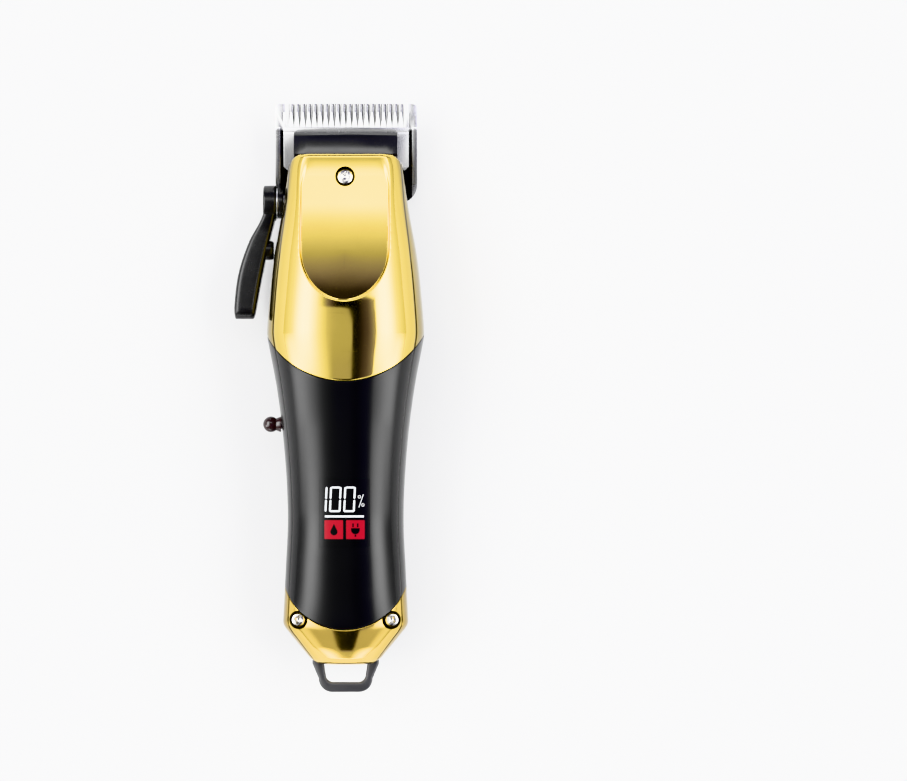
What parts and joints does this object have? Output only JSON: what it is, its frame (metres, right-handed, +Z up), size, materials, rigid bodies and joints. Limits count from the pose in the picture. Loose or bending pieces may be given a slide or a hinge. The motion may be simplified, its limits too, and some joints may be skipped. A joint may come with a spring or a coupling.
{
  "type": "hair clipper",
  "caption": "Cordless hair clipper with a side taper lever, power slide, charge display and hanging loop, lying on its back.",
  "frame": {"origin": "centre of the flat on the underside that it rests on, on the middle plane", "axes": "+Z up through the lid and the display, +Y along the body towards the blade, +X to the right seen from above, away from the taper lever"},
  "size_m": [0.0614, 0.1903, 0.0415],
  "materials": {
    "gold": "polished, gold coated",
    "gold_tail": "polished, gold coated",
    "piano": "piano black gloss",
    "satin": "satin",
    "nose": "gloss",
    "loop": "semi gloss",
    "blade": "ground",
    "cutter": "ground",
    "steel": "satin",
    "screw": "nickel plated",
    "nylon": "satin",
    "bronze": "sintered",
    "rubber": "matt",
    "board": "solder mask",
    "chip": "moulded",
    "window": "smoked, clear",
    "lit": "lit white",
    "lit_red": "lit red",
    "wrap": "shrink wrap",
    "nickel": "nickel strip",
    "lead_red": "silicone",
    "lead_black": "silicone",
    "knob": "gloss",
    "lever": "satin"
  },
  "bodies": {
    "housing": {"lid": "gold", "front_shell": "piano", "tail_cap": "gold_tail", "rear_housing": "satin", "nose_guard": "nose", "hanging_loop": "loop", "stationary_blade": "blade", "blade_screws": "screw", "slide_screws": "screw", "lever_washer": "steel", "lever_collar": "lever", "motor_can": "steel", "motor_end_cap": "nylon", "motor_bush": "bronze", "motor_sleeve": "rubber", "motor_bracket": "steel", "bracket_screws": "screw", "switch_body": "steel", "main_board": "board", "board_parts": "chip", "board_screws": "screw", "display_module": "chip", "display_window": "window", "display_digits": "lit", "display_tiles": "lit_red", "battery_cell": "wrap", "battery_tabs": "nickel", "battery_cradle": "nylon", "battery_leads": "lead_red", "motor_leads": "lead_black", "usb_port": "steel", "port_board": "board", "lid_screw": "screw", "tail_screws": "screw", "housing_screws": "screw"},
    "lever": {"taper_lever": "lever", "lever_shaft": "steel", "lever_screw": "screw"},
    "carriage": {"taper_slide": "steel", "tension_spring": "steel"},
    "cutter": {"cutter_blade": "cutter", "cutter_driver": "nylon"},
    "motor": {"motor_shaft": "steel", "eccentric_cam": "nylon", "drive_pin": "steel"},
    "switch": {"switch_knob": "knob", "switch_slider": "nylon"}
  },
  "joints": [
    {"name": "taper_lever_turn", "type": "hinge", "parent": "housing", "child": "lever", "pos_m": [-0.0247, 0.0627, 0.0114], "axis": [-1, 0, 0], "range_deg": [0, 34]},
    {"name": "taper_travel", "type": "slide", "parent": "housing", "child": "carriage", "axis": [0, 0.9781, 0.2079], "range_m": [0, 0.00164]},
    {"name": "cutter_stroke", "type": "slide", "parent": "carriage", "child": "cutter", "axis": [1, 0, 0], "range_m": [-0.001, 0.001]},
    {"name": "motor_spin", "type": "hinge", "parent": "housing", "child": "motor", "pos_m": [0, 0.035, 0.0145], "axis": [0, 1, 0], "continuous": true},
    {"name": "power_switch", "type": "slide", "parent": "housing", "child": "switch", "axis": [0, -1, 0], "range_m": [0, 0.003]}
  ],
  "couplings": [
    {"joint": "taper_lever_turn", "follows": "taper_travel", "rad_per_m": 362.49}
  ]
}
